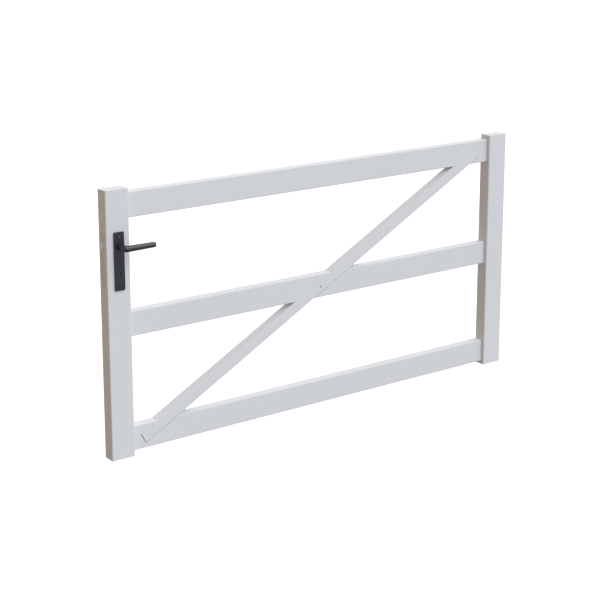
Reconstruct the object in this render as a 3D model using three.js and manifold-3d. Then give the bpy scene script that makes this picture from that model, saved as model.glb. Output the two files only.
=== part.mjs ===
// A painted timber garden gate: two stiles, three rails and a diagonal brace, with a mortice
// lock, a lever handle on the front, a turning knob on the back, and two band hinges.
//
// The gate is drawn in its own working coordinates, in millimetres: u (X) runs along the gate from
// the closing edge, v (Y) runs back from the front faces of the stiles, w (Z) runs up from the feet
// of the stiles. One outer group then moves it all, so that the part's origin is the centre of the
// lower hinge plate's seat.

import * as THREE from "three";
import { mergeVertices } from "three/addons/utils/BufferGeometryUtils.js";
import Module from "manifold-3d";

const wasm = await Module();
wasm.setup();

// ---------------------------------------------------------------- driving dimensions (mm)

const FIT = 0.3; // gap between pieces that touch

// timber
const GATE_WIDTH = 1912;
const GATE_HEIGHT = 1000;
const STILE_WIDTH = 94;
const STILE_DEPTH = 54;
const RAIL_HEIGHT = 94;
const RAIL_DEPTH = 40;
const RAIL_FRONT = STILE_DEPTH - RAIL_DEPTH; // rails stand back from the stiles' fronts
const RAIL_FEET = { bottom: 15, middle: 450, top: 888 };
const ARRIS = 4; // rounding of the timbers' long edges
const TENON = { length: 60, depth: 18, height: 70 };

// diagonal brace, halved into the rails and almost flush with their fronts
const BRACE_WIDTH = 43;
const BRACE_FRONT = RAIL_FRONT - 1;
const BRACE_ARRIS = 2.5;
const BRACE_FOOT = { u: 140.2, w: 53.3 };
const BRACE_HEAD = { u: 1760, w: 932.3 };
const HOUSING_GAP = { above: FIT, below: 0.8, foot: 2.6, head: FIT }; // round the brace
const BRACE_SCREW_INSET = 20;
const BRACE_SCREW = { head: 5, shank: 2.5, sunk: 2, dish: 2.5, length: 37 };

// lever, knob and plates
const BACKSET = 48.9;
const SPINDLE_HEIGHT = 796.5;
const PLATE = { width: 41, height: 213, thick: 5, foot: 634.5, corner: 3, bevel: 1 };
const PLATE_BOLT_INSET = 17.5;
const NECK_RADIUS = 9;
const LEVER = { reach: 55, elbowRadius: 11.7, tipRadius: 10.1, tip: 166 };
const KNOB = { radius: 22, neckEnd: 72, halfLength: 17.5, dish: 1 };
const SPINDLE = { side: 8, front: -42, back: 94 };
const KEYHOLE = { width: 6.5, height: 17, centre: 697 };
const PLATE_BOLT = { radius: 2.5, head: 4.5, rise: 2.4, end: 50 };
const SLEEVE = { radius: 3.5, head: 5, rise: 2, start: 25 };
const GRUB = { radius: 2.5, length: 4.5, front: -18, back: STILE_DEPTH + 13 };

// mortice lock, on the stile's mid plane
const CASE = { front: 3.3, back: 78, foot: 672, top: 822, depth: 14, wall: 1.5 };
const FOREND = { thick: 3, width: 22, foot: 644, top: 846, corner: 3 };
const BOLT_DEPTH = 9;
const LATCH = { height: 18, throw: 11, back: 12, bar: 2.6, lug: 4 };
const LATCH_SPRING = { coil: 3.2, wire: 0.5, turns: 5, stop: 33.5 };
const DEAD_BOLT = { foot: 706, height: 22, back: 20, tailFoot: 5, tailDrop: 4, tailEnd: 68 };
const FOLLOWER = { radius: 11, journal: 8.5, arm: 18, armWidth: 6 };
const FOREND_SCREW = { head: 4, shank: 2, dish: 2, end: 25, inset: 10 };
const COVER_SCREW = { radius: 1.5, head: 2.75, post: 3.5, from: 24, inset: 10, u: 72 };

// band hinges on the back
const PIN_RADIUS = 8;
const STEM_RADIUS = 10;
const STRAP = { length: 350, height: 40, thick: 5 };
const EYE_OFFSET = 8; // hinge axis beyond the gate's hinge edge
const HINGE_HEIGHTS = { upper: 934, lower: 61 };
const WASHER_THICK = 3;
const STEM_LENGTH = 82;
const POST_PLATE = { width: 33, height: 110, thick: 5, hole: 4.25 };
const POST_PLATE_HOLES = [-42, -16, 16, 42]; // up and down from the plate's middle
const COACH_SCREW = { radius: 4, flats: 13, headHeight: 5.3, length: 30 };
const COACH_SCREW_PLACES = [47, 190, 325]; // from the gate's hinge edge

// fineness of round shapes
const FINE = 32;
const MEDIUM = 20;
const COARSE = 12;

// ---------------------------------------------------------------- places worked out from these

const STILE_MID = STILE_DEPTH / 2;
const HINGE_U = GATE_WIDTH + EYE_OFFSET;
const EYE_RADIUS = PIN_RADIUS + FIT + STRAP.thick;
const HINGE_V = STILE_DEPTH + FIT + EYE_RADIUS;
const SEAT_V = STILE_DEPTH + FIT; // back plane that the straps and the post plates share
const PLATE_TOP = PLATE.foot + PLATE.height;
const PLATE_BOLTS = {
  upper: PLATE_TOP - PLATE_BOLT_INSET,
  lower: PLATE.foot + PLATE_BOLT_INSET,
};
const PLATE_FRONT = -FIT - PLATE.thick; // outer faces of the two backplates
const PLATE_BACK = SEAT_V + PLATE.thick;
const NECK_FRONT = -FIT - 0.3; // where the lever's and the knob's necks begin
const NECK_BACK = STILE_DEPTH - NECK_FRONT;
const TENON_V = RAIL_FRONT + RAIL_DEPTH / 2;
const CASE_V = STILE_MID - CASE.depth / 2;
const COVER_V = CASE_V + CASE.depth - CASE.wall;
const BOLT_V = STILE_MID - BOLT_DEPTH / 2;
const COVER_SCREWS = [
  [COVER_SCREW.u, CASE.foot + COVER_SCREW.inset],
  [COVER_SCREW.u, CASE.top - COVER_SCREW.inset],
];
const FOREND_SCREWS = {
  upper: FOREND.top - FOREND_SCREW.inset,
  lower: FOREND.foot + FOREND_SCREW.inset,
};
const BRACE_ANGLE = Math.atan2(BRACE_HEAD.w - BRACE_FOOT.w, BRACE_HEAD.u - BRACE_FOOT.u);
const BRACE_LENGTH = Math.hypot(BRACE_HEAD.w - BRACE_FOOT.w, BRACE_HEAD.u - BRACE_FOOT.u);
const BRACE_SCREWS = {
  lower: BRACE_SCREW_INSET,
  middle: BRACE_LENGTH / 2,
  upper: BRACE_LENGTH - BRACE_SCREW_INSET,
};

// Each post plate stands beside its pin's stem, on the side of the eye that faces the other hinge.
const HINGES = {
  upper: { eye: HINGE_HEIGHTS.upper, side: -1 },
  lower: { eye: HINGE_HEIGHTS.lower, side: 1 },
};
const STEM_CHORD = Math.sqrt(STEM_RADIUS ** 2 - (HINGE_V - SEAT_V - POST_PLATE.thick) ** 2);
const PLATE_U = HINGE_U + STEM_CHORD + FIT; // near edge of the post plates
const POST_PLATE_U = PLATE_U + POST_PLATE.width / 2;
const PLATE_OFFSET = STRAP.height / 2 + WASHER_THICK + 2 * FIT + 5 + POST_PLATE.height / 2;

// ---------------------------------------------------------------- solids

// A closed three.js geometry as a manifold-3d solid.
function solid(geometry) {
  const bare = geometry.index ? geometry.toNonIndexed() : geometry.clone();
  bare.deleteAttribute("normal");
  bare.deleteAttribute("uv");
  const merged = mergeVertices(bare, 1e-3);
  return new wasm.Manifold(
    new wasm.Mesh({
      numProp: 3,
      vertProperties: new Float32Array(merged.attributes.position.array),
      triVerts: new Uint32Array(merged.index.array),
    }),
  );
}

// A manifold-3d solid as a three.js geometry.
function geometryOf(shape) {
  const mesh = shape.getMesh();
  const geometry = new THREE.BufferGeometry();
  geometry.setAttribute("position", new THREE.BufferAttribute(mesh.vertProperties, 3));
  geometry.setIndex(new THREE.BufferAttribute(mesh.triVerts, 1));
  return geometry;
}

function union(first, ...others) {
  return others.reduce((sum, other) => sum.add(other), first);
}

function cut(first, ...others) {
  return others.reduce((rest, other) => rest.subtract(other), first);
}

// A box from one corner to the opposite one.
function box(from, to) {
  const size = to.map((high, axis) => high - from[axis]);
  const centre = to.map((high, axis) => (high + from[axis]) / 2);
  return solid(new THREE.BoxGeometry(...size).translate(...centre));
}

// An outline in the XY plane, with its corners rounded.
function roundedRectangle(width, height, radius) {
  const x = width / 2;
  const y = height / 2;
  const shape = new THREE.Shape();
  shape.moveTo(-x + radius, -y);
  shape.lineTo(x - radius, -y);
  shape.absarc(x - radius, -y + radius, radius, -Math.PI / 2, 0, false);
  shape.lineTo(x, y - radius);
  shape.absarc(x - radius, y - radius, radius, 0, Math.PI / 2, false);
  shape.lineTo(-x + radius, y);
  shape.absarc(-x + radius, y - radius, radius, Math.PI / 2, Math.PI, false);
  shape.lineTo(-x, -y + radius);
  shape.absarc(-x + radius, -y + radius, radius, Math.PI, 1.5 * Math.PI, false);
  return shape;
}

// A bar along +Z from z = 0, with rounded long edges.
function bar(width, depth, length, radius) {
  const outline = roundedRectangle(width, depth, radius);
  return new THREE.ExtrudeGeometry(outline, { depth: length, bevelEnabled: false, curveSegments: 3 });
}

// A turned solid about the Y axis. Each profile point is [distance along the axis, radius]. The
// first and last lie on the axis, or the profile closes on itself. An outline that runs the wrong
// way round is reversed, so that the solid's faces point out.
function lathe(profile, facets) {
  const area = profile.reduce((sum, [along, radius], index) => {
    const [nextAlong, nextRadius] = profile[(index + 1) % profile.length];
    return sum + radius * nextAlong - nextRadius * along;
  }, 0);
  const ordered = area > 0 ? profile : [...profile].reverse();
  const points = ordered.map(([along, radius]) => new THREE.Vector2(radius, along));
  return new THREE.LatheGeometry(points, facets);
}

// A turned piece about an axis along v.
function turned(profile, u, w, facets) {
  return solid(lathe(profile, facets).translate(u, 0, w));
}

// A turned piece about an axis along u.
function turnedAlong(profile, v, w, facets) {
  return solid(lathe(profile, facets).rotateZ(-Math.PI / 2).translate(0, v, w));
}

// A plain rod along v.
function rodV(radius, u, w, from, to, facets) {
  return turned([[from, 0], [from, radius], [to, radius], [to, 0]], u, w, facets);
}

// A turned piece about an upright axis.
function turnedUpright(profile, u, v, facets) {
  return solid(lathe(profile, facets).rotateX(Math.PI / 2).translate(u, v, 0));
}

// A square bar on the spindle's axis.
function squareBar(side, from, to) {
  const half = side / 2;
  return box(
    [BACKSET - half, from, SPINDLE_HEIGHT - half],
    [BACKSET + half, to, SPINDLE_HEIGHT + half],
  );
}

// The square hole that takes the spindle.
function spindleHole(from, to) {
  return squareBar(SPINDLE.side + 2 * FIT, from, to);
}

// ---------------------------------------------------------------- materials

function material(colour, roughness, metalness) {
  return new THREE.MeshStandardMaterial({ color: colour, roughness, metalness });
}

const paint = () => material(0xcdd0d5, 0.55, 0);
const blackCoat = () => material(0x2b2b2d, 0.4, 0.3);
const galvanised = () => material(0x9a9d9f, 0.5, 0.9);
const blackSteel = () => material(0x242425, 0.5, 0.6);
const satinSteel = () => material(0xa8a39b, 0.35, 0.95);
const caseSteel = () => material(0x77797c, 0.5, 0.9);
const brass = () => material(0xb08d4a, 0.35, 0.95);
const nylon = () => material(0x1c1c1d, 0.7, 0);
const screwSteel = () => material(0x6f6d69, 0.4, 0.9);

const gate = new THREE.Group();

function addPiece(name, shape, surface) {
  const mesh = new THREE.Mesh(geometryOf(shape), surface);
  mesh.name = name;
  gate.add(mesh);
}

// ---------------------------------------------------------------- timber

function stile(left) {
  const upright = bar(STILE_WIDTH, STILE_DEPTH, GATE_HEIGHT, ARRIS);
  const shape = solid(upright.translate(left + STILE_WIDTH / 2, STILE_MID, 0));
  const mortises = Object.values(RAIL_FEET).map((foot) => tenonSpace(left, foot));
  return cut(shape, ...mortises);
}

// The mortise in a stile for one rail's stub tenon, with its clearance.
function tenonSpace(left, foot) {
  const inner = left > 0 ? left : STILE_WIDTH;
  const reach = TENON.length + 2;
  const from = left > 0 ? inner - 1 : inner - reach;
  const to = left > 0 ? inner + reach : inner + 1;
  const middle = foot + RAIL_HEIGHT / 2;
  const halfDepth = TENON.depth / 2 + FIT;
  const halfHeight = TENON.height / 2 + FIT;
  return box(
    [from, TENON_V - halfDepth, middle - halfHeight],
    [to, TENON_V + halfDepth, middle + halfHeight],
  );
}

function rail(foot) {
  const from = STILE_WIDTH + FIT;
  const length = GATE_WIDTH - 2 * from;
  const middle = foot + RAIL_HEIGHT / 2;
  const body = bar(RAIL_HEIGHT, RAIL_DEPTH, length, ARRIS);
  body.rotateY(Math.PI / 2).translate(from, TENON_V, middle);
  const tenons = box(
    [STILE_WIDTH - TENON.length, TENON_V - TENON.depth / 2, middle - TENON.height / 2],
    [GATE_WIDTH - STILE_WIDTH + TENON.length, TENON_V + TENON.depth / 2, middle + TENON.height / 2],
  );
  return union(solid(body), tenons);
}

// A bar along the brace's centre line, from one distance along it to another, and from one distance
// above it to another.
function braceBar(from, to, below, above, front, back, radius) {
  const body = bar(above - below, back - front, to - from, radius);
  body.translate(-(above + below) / 2, 0, from);
  body.rotateY(Math.PI / 2).rotateY(-BRACE_ANGLE);
  return solid(body.translate(BRACE_FOOT.u, (front + back) / 2, BRACE_FOOT.w));
}

// The housing in the rails' front halves that takes the brace.
function braceHousing() {
  const { above, below, foot, head } = HOUSING_GAP;
  const half = BRACE_WIDTH / 2;
  return braceBar(-foot, BRACE_LENGTH + head, -half - below, half + above, 0, TENON_V, 0.1);
}

// A point on the brace's centre line, a distance up from its foot.
function onBrace(along) {
  return [
    BRACE_FOOT.u + along * Math.cos(BRACE_ANGLE),
    BRACE_FOOT.w + along * Math.sin(BRACE_ANGLE),
  ];
}

function braceScrewProfile(grow) {
  const { head, shank, sunk, dish, length } = BRACE_SCREW;
  const top = BRACE_FRONT + sunk;
  const mouth = grow > 0 ? 0 : top;
  const end = BRACE_FRONT + length + grow;
  return [
    [mouth, 0],
    [mouth, head + grow],
    [top + 0.8, head + grow],
    [top + 0.8 + dish, shank + grow],
    [end, shank + grow],
    [end, 0],
  ];
}

function braceScrewHoles() {
  return Object.values(BRACE_SCREWS).map((along) =>
    turned(braceScrewProfile(FIT), ...onBrace(along), COARSE),
  );
}

// The brace keeps its front half where it crosses a rail, and its full depth between the rails.
function brace() {
  const half = BRACE_WIDTH / 2;
  const body = braceBar(0, BRACE_LENGTH, -half, half, BRACE_FRONT, STILE_DEPTH, BRACE_ARRIS);
  const halvings = Object.values(RAIL_FEET).map((foot) =>
    box(
      [0, TENON_V - FIT, foot - FIT],
      [GATE_WIDTH, STILE_DEPTH + 1, foot + RAIL_HEIGHT + FIT],
    ),
  );
  return cut(body, ...halvings, ...braceScrewHoles(), ...coachScrewHoles());
}

function addTimber() {
  const latchStile = cut(
    stile(0),
    lockMortise(),
    ...furnitureHoles(),
    ...forendScrewHoles(),
  );
  addPiece("latch_stile", latchStile, paint());
  addPiece("hinge_stile", cut(stile(GATE_WIDTH - STILE_WIDTH), ...coachScrewHoles()), paint());
  for (const [name, foot] of Object.entries(RAIL_FEET)) {
    const drilled = cut(rail(foot), braceHousing(), ...braceScrewHoles(), ...coachScrewHoles());
    addPiece(`${name}_rail`, drilled, paint());
  }
  addPiece("diagonal_brace", brace(), paint());
  for (const [name, along] of Object.entries(BRACE_SCREWS)) {
    const screw = turned(braceScrewProfile(0), ...onBrace(along), COARSE);
    addPiece(`brace_screw_${name}`, screw, screwSteel());
  }
}

// ---------------------------------------------------------------- lock

// The mortise for the case, and the shallow rebate for the forend.
function lockMortise() {
  const room = 0.5;
  const pocket = box(
    [-1, CASE_V - room, CASE.foot - room],
    [CASE.back + room, CASE_V + CASE.depth + room, CASE.top + room],
  );
  const rebate = forendShape(FIT, -1, FOREND.thick + FIT);
  return union(pocket, rebate);
}

function forendShape(grow, from, to) {
  const height = FOREND.top - FOREND.foot;
  const outline = roundedRectangle(FOREND.width + 2 * grow, height + 2 * grow, FOREND.corner);
  const strip = new THREE.ExtrudeGeometry(outline, {
    depth: to - from,
    bevelEnabled: false,
    curveSegments: 3,
  });
  // the outline's width lies along v, its height along w, and it is extruded along u
  strip.rotateX(Math.PI / 2).rotateZ(Math.PI / 2);
  return solid(strip.translate(from, STILE_MID, (FOREND.foot + FOREND.top) / 2));
}

// The openings that the two bolts slide through, in the forend and in the case.
function boltOpenings() {
  const slack = 0.4;
  const v0 = STILE_MID - BOLT_DEPTH / 2 - slack;
  const v1 = STILE_MID + BOLT_DEPTH / 2 + slack;
  const latchHalf = LATCH.height / 2 + slack;
  const reach = CASE.front + CASE.wall + 1;
  return [
    box([-1, v0, SPINDLE_HEIGHT - latchHalf], [reach, v1, SPINDLE_HEIGHT + latchHalf]),
    box([-1, v0, DEAD_BOLT.foot - slack], [reach, v1, DEAD_BOLT.foot + DEAD_BOLT.height + slack]),
  ];
}

// A countersunk screw along +u, its head level with the forend's face.
function forendScrew(height, grow) {
  const { head, shank, dish, end } = FOREND_SCREW;
  const mouth = grow > 0 ? -1 : 0.1;
  const profile = [
    [mouth, 0],
    [mouth, head + grow],
    [0.4, head + grow],
    [0.4 + dish, shank + grow],
    [end + grow, shank + grow],
    [end + grow, 0],
  ];
  return turnedAlong(profile, STILE_MID, height, COARSE);
}

function forendScrewHoles() {
  return Object.values(FOREND_SCREWS).map((height) => forendScrew(height, FIT));
}

// The case is a tray, closed by the cover on its back side.
function lockCase() {
  const { front, back, foot, top, wall } = CASE;
  const rim = COVER_V - FIT;
  const tray = cut(
    box([front, CASE_V, foot], [back, rim, top]),
    box([front + wall, CASE_V + wall, foot + wall], [back - wall, rim + 1, top - wall]),
  );
  const posts = COVER_SCREWS.map(([u, w]) =>
    rodV(COVER_SCREW.post, u, w, CASE_V + 1, rim, COARSE),
  );
  const springStop = box(
    [LATCH_SPRING.stop, CASE_V + 1, SPINDLE_HEIGHT - 6],
    [LATCH_SPRING.stop + wall, rim - 0.5, SPINDLE_HEIGHT + 6],
  );
  const threads = COVER_SCREWS.map(([u, w]) =>
    rodV(COVER_SCREW.radius + FIT, u, w, COVER_SCREW.from - FIT, rim + 1, COARSE),
  );
  const from = CASE_V - 1;
  const to = CASE_V + wall + 0.5;
  return cut(
    union(tray, ...posts, springStop),
    ...threads,
    ...boltOpenings(),
    rodV(FOLLOWER.journal + FIT, BACKSET, SPINDLE_HEIGHT, from, to, MEDIUM),
    keyway(from, to, 0),
  );
}

function lockCover() {
  const { front, back, foot, top, wall } = CASE;
  const from = COVER_V - 1;
  const to = COVER_V + wall + 1;
  const screwHoles = COVER_SCREWS.map(([u, w]) =>
    rodV(COVER_SCREW.radius + FIT, u, w, from, to, COARSE),
  );
  return cut(
    box([front, COVER_V, foot], [back, COVER_V + wall, top]),
    ...screwHoles,
    rodV(FOLLOWER.journal + FIT, BACKSET, SPINDLE_HEIGHT, from, to, MEDIUM),
    keyway(from, to, 0),
  );
}

function coverScrew(u, w) {
  const face = COVER_V + CASE.wall + 0.1;
  const { radius, head, from } = COVER_SCREW;
  return turned(
    [[from, 0], [from, radius], [face, radius], [face, head], [face + 0.35, head], [face + 0.35, 0]],
    u,
    w,
    COARSE,
  );
}

// The keyhole's outline, pushed through from one depth to another.
function keyway(from, to, grow) {
  const width = KEYHOLE.width + 2 * grow;
  const height = KEYHOLE.height + 2 * grow;
  const outline = roundedRectangle(width, height, width / 2 - 0.05);
  const slot = new THREE.ExtrudeGeometry(outline, {
    depth: to - from,
    bevelEnabled: false,
    curveSegments: 4,
  });
  return solid(slot.rotateX(Math.PI / 2).translate(BACKSET, to, KEYHOLE.centre));
}

// The follower turns with the spindle. Its arm points up and draws the latch bolt back.
function follower() {
  const inner = CASE_V + CASE.wall + FIT;
  const outer = COVER_V - FIT;
  const { radius, journal, arm, armWidth } = FOLLOWER;
  const hub = turned(
    [
      [CASE_V + 0.2, 0],
      [CASE_V + 0.2, journal],
      [inner, journal],
      [inner, radius],
      [outer, radius],
      [outer, journal],
      [COVER_V + CASE.wall - 0.2, journal],
      [COVER_V + CASE.wall - 0.2, 0],
    ],
    BACKSET,
    SPINDLE_HEIGHT,
    MEDIUM,
  );
  const armBar = box(
    [BACKSET - armWidth / 2, BOLT_V + LATCH.bar + FIT, SPINDLE_HEIGHT],
    [BACKSET + armWidth / 2, outer, SPINDLE_HEIGHT + arm],
  );
  return cut(union(hub, armBar), spindleHole(CASE_V - 1, CASE_V + CASE.depth + 1));
}

// The latch bolt: a head bevelled on its front side, a bar over the follower, and the lug that the
// follower's arm pushes.
function latchBolt() {
  const half = LATCH.height / 2;
  const outline = new THREE.Shape();
  outline.moveTo(-LATCH.throw, BOLT_V + BOLT_DEPTH);
  outline.lineTo(-LATCH.throw, BOLT_V + BOLT_DEPTH - 2);
  outline.lineTo(-1.5, BOLT_V);
  outline.lineTo(LATCH.back, BOLT_V);
  outline.lineTo(LATCH.back, BOLT_V + BOLT_DEPTH);
  outline.closePath();
  const head = new THREE.ExtrudeGeometry(outline, { depth: LATCH.height, bevelEnabled: false });
  head.translate(0, 0, SPINDLE_HEIGHT - half);
  const barFoot = SPINDLE_HEIGHT + FOLLOWER.radius + 1;
  const barTop = SPINDLE_HEIGHT + FOLLOWER.arm + 2;
  const lugU = BACKSET + FOLLOWER.armWidth / 2 + 1;
  const lugEnd = lugU + LATCH.lug;
  const barBack = BOLT_V + LATCH.bar;
  const riser = box([7, BOLT_V, SPINDLE_HEIGHT], [LATCH.back, barBack, barTop]);
  const topBar = box([7, BOLT_V, barFoot], [lugEnd, barBack, barTop]);
  const lug = box([lugU, BOLT_V, barFoot], [lugEnd, BOLT_V + BOLT_DEPTH - 0.5, barTop]);
  return union(solid(head), riser, topBar, lug);
}

// A compression spring behind the latch bolt's head.
function latchSpring() {
  const { coil, wire, turns, stop } = LATCH_SPRING;
  const from = LATCH.back + FIT + wire;
  const to = stop - FIT - wire;
  class Helix extends THREE.Curve {
    getPoint(t, target = new THREE.Vector3()) {
      const angle = t * turns * 2 * Math.PI;
      return target.set(
        from + t * (to - from),
        STILE_MID + coil * Math.cos(angle),
        SPINDLE_HEIGHT + coil * Math.sin(angle),
      );
    }
  }
  const section = new THREE.Shape();
  section.absarc(0, 0, wire, 0, 2 * Math.PI, false);
  return solid(
    new THREE.ExtrudeGeometry(section, { extrudePath: new Helix(), steps: 50, curveSegments: 3 }),
  );
}

// The dead bolt: a square head, and a thin tail with the notch that the key's bit turns in.
function deadBolt() {
  const { foot, height, back, tailFoot, tailDrop, tailEnd } = DEAD_BOLT;
  const head = box([0.2, BOLT_V, foot], [back, BOLT_V + BOLT_DEPTH, foot + height]);
  const tail = box(
    [back - 1, BOLT_V, foot + tailFoot],
    [tailEnd, BOLT_V + 3.5, foot + height - tailDrop],
  );
  const talon = box([BACKSET - 6, BOLT_V - 1, foot], [BACKSET + 6, BOLT_V + 5, foot + 10]);
  return cut(union(head, tail), talon);
}

// A bent strip over the dead bolt's tail, fixed to the case, that holds the bolt in or out.
function detentSpring() {
  const rest = DEAD_BOLT.foot + DEAD_BOLT.height - DEAD_BOLT.tailDrop + FIT;
  const strip = new THREE.Shape();
  strip.moveTo(24, rest + 9);
  strip.lineTo(40, rest + 8);
  strip.lineTo(58, rest);
  strip.lineTo(62, rest + 1.5);
  strip.lineTo(62, rest + 2.5);
  strip.lineTo(58.2, rest + 1);
  strip.lineTo(40, rest + 9);
  strip.lineTo(24, rest + 10);
  strip.closePath();
  const shape = new THREE.ExtrudeGeometry(strip, { depth: 4, bevelEnabled: false });
  return solid(shape.rotateX(Math.PI / 2).translate(0, BOLT_V + 4, 0));
}

function addLock() {
  addPiece("lock_case", lockCase(), caseSteel());
  addPiece("lock_cover", lockCover(), caseSteel());
  COVER_SCREWS.forEach(([u, w], index) => {
    addPiece(`lock_cover_screw_${index + 1}`, coverScrew(u, w), screwSteel());
  });
  const forend = cut(forendShape(0, 0, FOREND.thick), ...boltOpenings(), ...forendScrewHoles());
  addPiece("lock_forend", forend, satinSteel());
  for (const [name, height] of Object.entries(FOREND_SCREWS)) {
    addPiece(`forend_screw_${name}`, forendScrew(height, 0), satinSteel());
  }
  addPiece("follower", follower(), brass());
  addPiece("latch_bolt", latchBolt(), satinSteel());
  addPiece("latch_spring", latchSpring(), satinSteel());
  addPiece("dead_bolt", deadBolt(), satinSteel());
  addPiece("detent_spring", detentSpring(), satinSteel());
}

// ---------------------------------------------------------------- lever, knob and plates

// Holes through the latch stile: for the spindle, for the plates' through bolts, and for the key.
function furnitureHoles() {
  const from = -1;
  const to = STILE_DEPTH + 1;
  const boltHoles = Object.values(PLATE_BOLTS).map((height) =>
    rodV(SLEEVE.radius + FIT, BACKSET, height, from, to, COARSE),
  );
  return [
    rodV(NECK_RADIUS + 2, BACKSET, SPINDLE_HEIGHT, from, to, MEDIUM),
    keyway(from, to, 1),
    ...boltHoles,
  ];
}

// A backplate between two depths, with the bevel on the face away from the timber.
function plate(from, faceSign, boltRadius) {
  const { width, height, thick, corner, bevel } = PLATE;
  const outline = roundedRectangle(width - 2 * bevel, height - 2 * bevel, corner);
  const shape = new THREE.ExtrudeGeometry(outline, {
    depth: thick - bevel,
    bevelThickness: bevel,
    bevelSize: bevel,
    bevelSegments: 2,
    curveSegments: 4,
  });
  // the bevel is kept on the outer face only: the inner one is cut off flat
  shape.rotateX((faceSign * Math.PI) / 2);
  const solidPlate = solid(shape.translate(BACKSET, from, PLATE.foot + height / 2));
  const flat = faceSign > 0 ? [from, from + 10] : [from - 10, from];
  const trimmed = cut(solidPlate, box([0, flat[0], 0], [STILE_WIDTH, flat[1], GATE_HEIGHT]));
  const v0 = from - 12;
  const v1 = from + 12;
  const boltHoles = Object.values(PLATE_BOLTS).map((place) =>
    rodV(boltRadius + FIT, BACKSET, place, v0, v1, COARSE),
  );
  return cut(
    trimmed,
    ...boltHoles,
    rodV(NECK_RADIUS + 2 + FIT, BACKSET, SPINDLE_HEIGHT, v0, v1, MEDIUM),
    keyway(v0, v1, 0),
  );
}

// A flanged nylon bush, between a plate and the neck that turns in it. It reaches from the flange's
// outer face to the plate's inner face.
function bush(flangeFace, plateInner) {
  const sign = Math.sign(plateInner - flangeFace);
  const inner = NECK_RADIUS + FIT;
  const outer = NECK_RADIUS + 2;
  const flange = outer + 1.5;
  const step = flangeFace + sign * 1;
  const profile = [
    [flangeFace, inner],
    [flangeFace, flange],
    [step, flange],
    [step, outer],
    [plateInner, outer],
    [plateInner, inner],
    [flangeFace, inner],
  ];
  return turned(profile, BACKSET, SPINDLE_HEIGHT, MEDIUM);
}

// The lever: a neck that swells to a ball at the elbow, and a grip that tapers to a rounded tip.
function lever() {
  const { reach, elbowRadius, tipRadius, tip } = LEVER;
  const neckProfile = [];
  const steps = 7;
  for (let step = 0; step <= steps; step += 1) {
    const angle = (step / steps) * (Math.PI / 2);
    neckProfile.push([-reach - elbowRadius * Math.cos(angle), elbowRadius * Math.sin(angle)]);
  }
  neckProfile.push([PLATE_FRONT - 6, NECK_RADIUS], [NECK_FRONT, NECK_RADIUS], [NECK_FRONT, 0]);
  const gripProfile = [
    [BACKSET, 0],
    [BACKSET, elbowRadius],
    [tip - 3.5, tipRadius],
    [tip - 1, tipRadius * 0.9],
    [tip, tipRadius * 0.7],
    [tip, 0],
  ];
  return cut(
    union(
      turned(neckProfile, BACKSET, SPINDLE_HEIGHT, FINE),
      turnedAlong(gripProfile, -reach, SPINDLE_HEIGHT, FINE),
    ),
    spindleHole(SPINDLE.front - FIT, 5),
    grubRoom(GRUB.front),
  );
}

function knob() {
  const { radius, neckEnd, halfLength, dish } = KNOB;
  const belly = neckEnd + halfLength;
  const points = [
    [NECK_BACK, 0],
    [NECK_BACK, NECK_RADIUS],
    [neckEnd - 4, NECK_RADIUS],
  ];
  const steps = 8;
  for (let step = 0; step <= steps; step += 1) {
    const angle = (step / steps) * (Math.PI * 0.81) + Math.PI * 0.11;
    points.push([belly - halfLength * Math.cos(angle), radius * Math.sin(angle) ** 0.8]);
  }
  const [rimEnd, rimRadius] = points[points.length - 1];
  points.push([rimEnd - dish, rimRadius * 0.5]);
  points.push([rimEnd - dish, 0]);
  return cut(
    turned(points, BACKSET, SPINDLE_HEIGHT, FINE),
    spindleHole(STILE_DEPTH - 5, SPINDLE.back + FIT),
    grubRoom(GRUB.back),
  );
}

// A grub screw stands upright under a neck and bears on the spindle.
function grub(v, grow, top, foot) {
  const radius = GRUB.radius + grow;
  const profile = [[foot, 0], [foot, radius], [top, radius], [top, 0]];
  return turnedUpright(profile, BACKSET, v, COARSE);
}

function grubRoom(v) {
  return grub(v, FIT, SPINDLE_HEIGHT, SPINDLE_HEIGHT - NECK_RADIUS - 10);
}

function grubScrew(v) {
  const top = SPINDLE_HEIGHT - SPINDLE.side / 2 - FIT;
  return grub(v, 0, top, top - GRUB.length);
}

function plateBolt(height) {
  const face = PLATE_FRONT - FIT;
  const { radius, head, rise, end } = PLATE_BOLT;
  return turned(
    [
      [face - rise, 0],
      [face - rise, head - 1.2],
      [face - rise * 0.5, head],
      [face, head],
      [face, radius],
      [end, radius],
      [end, 0],
    ],
    BACKSET,
    height,
    COARSE,
  );
}

function sleeveNut(height) {
  const face = PLATE_BACK + FIT;
  const { radius, head, rise, start } = SLEEVE;
  const bore = PLATE_BOLT.radius + FIT;
  const shape = turned(
    [[start, 0], [start, radius], [face, radius], [face, head], [face + rise, head], [face + rise, 0]],
    BACKSET,
    height,
    COARSE,
  );
  return cut(shape, rodV(bore, BACKSET, height, start - 1, PLATE_BOLT.end + FIT, COARSE));
}

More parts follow.
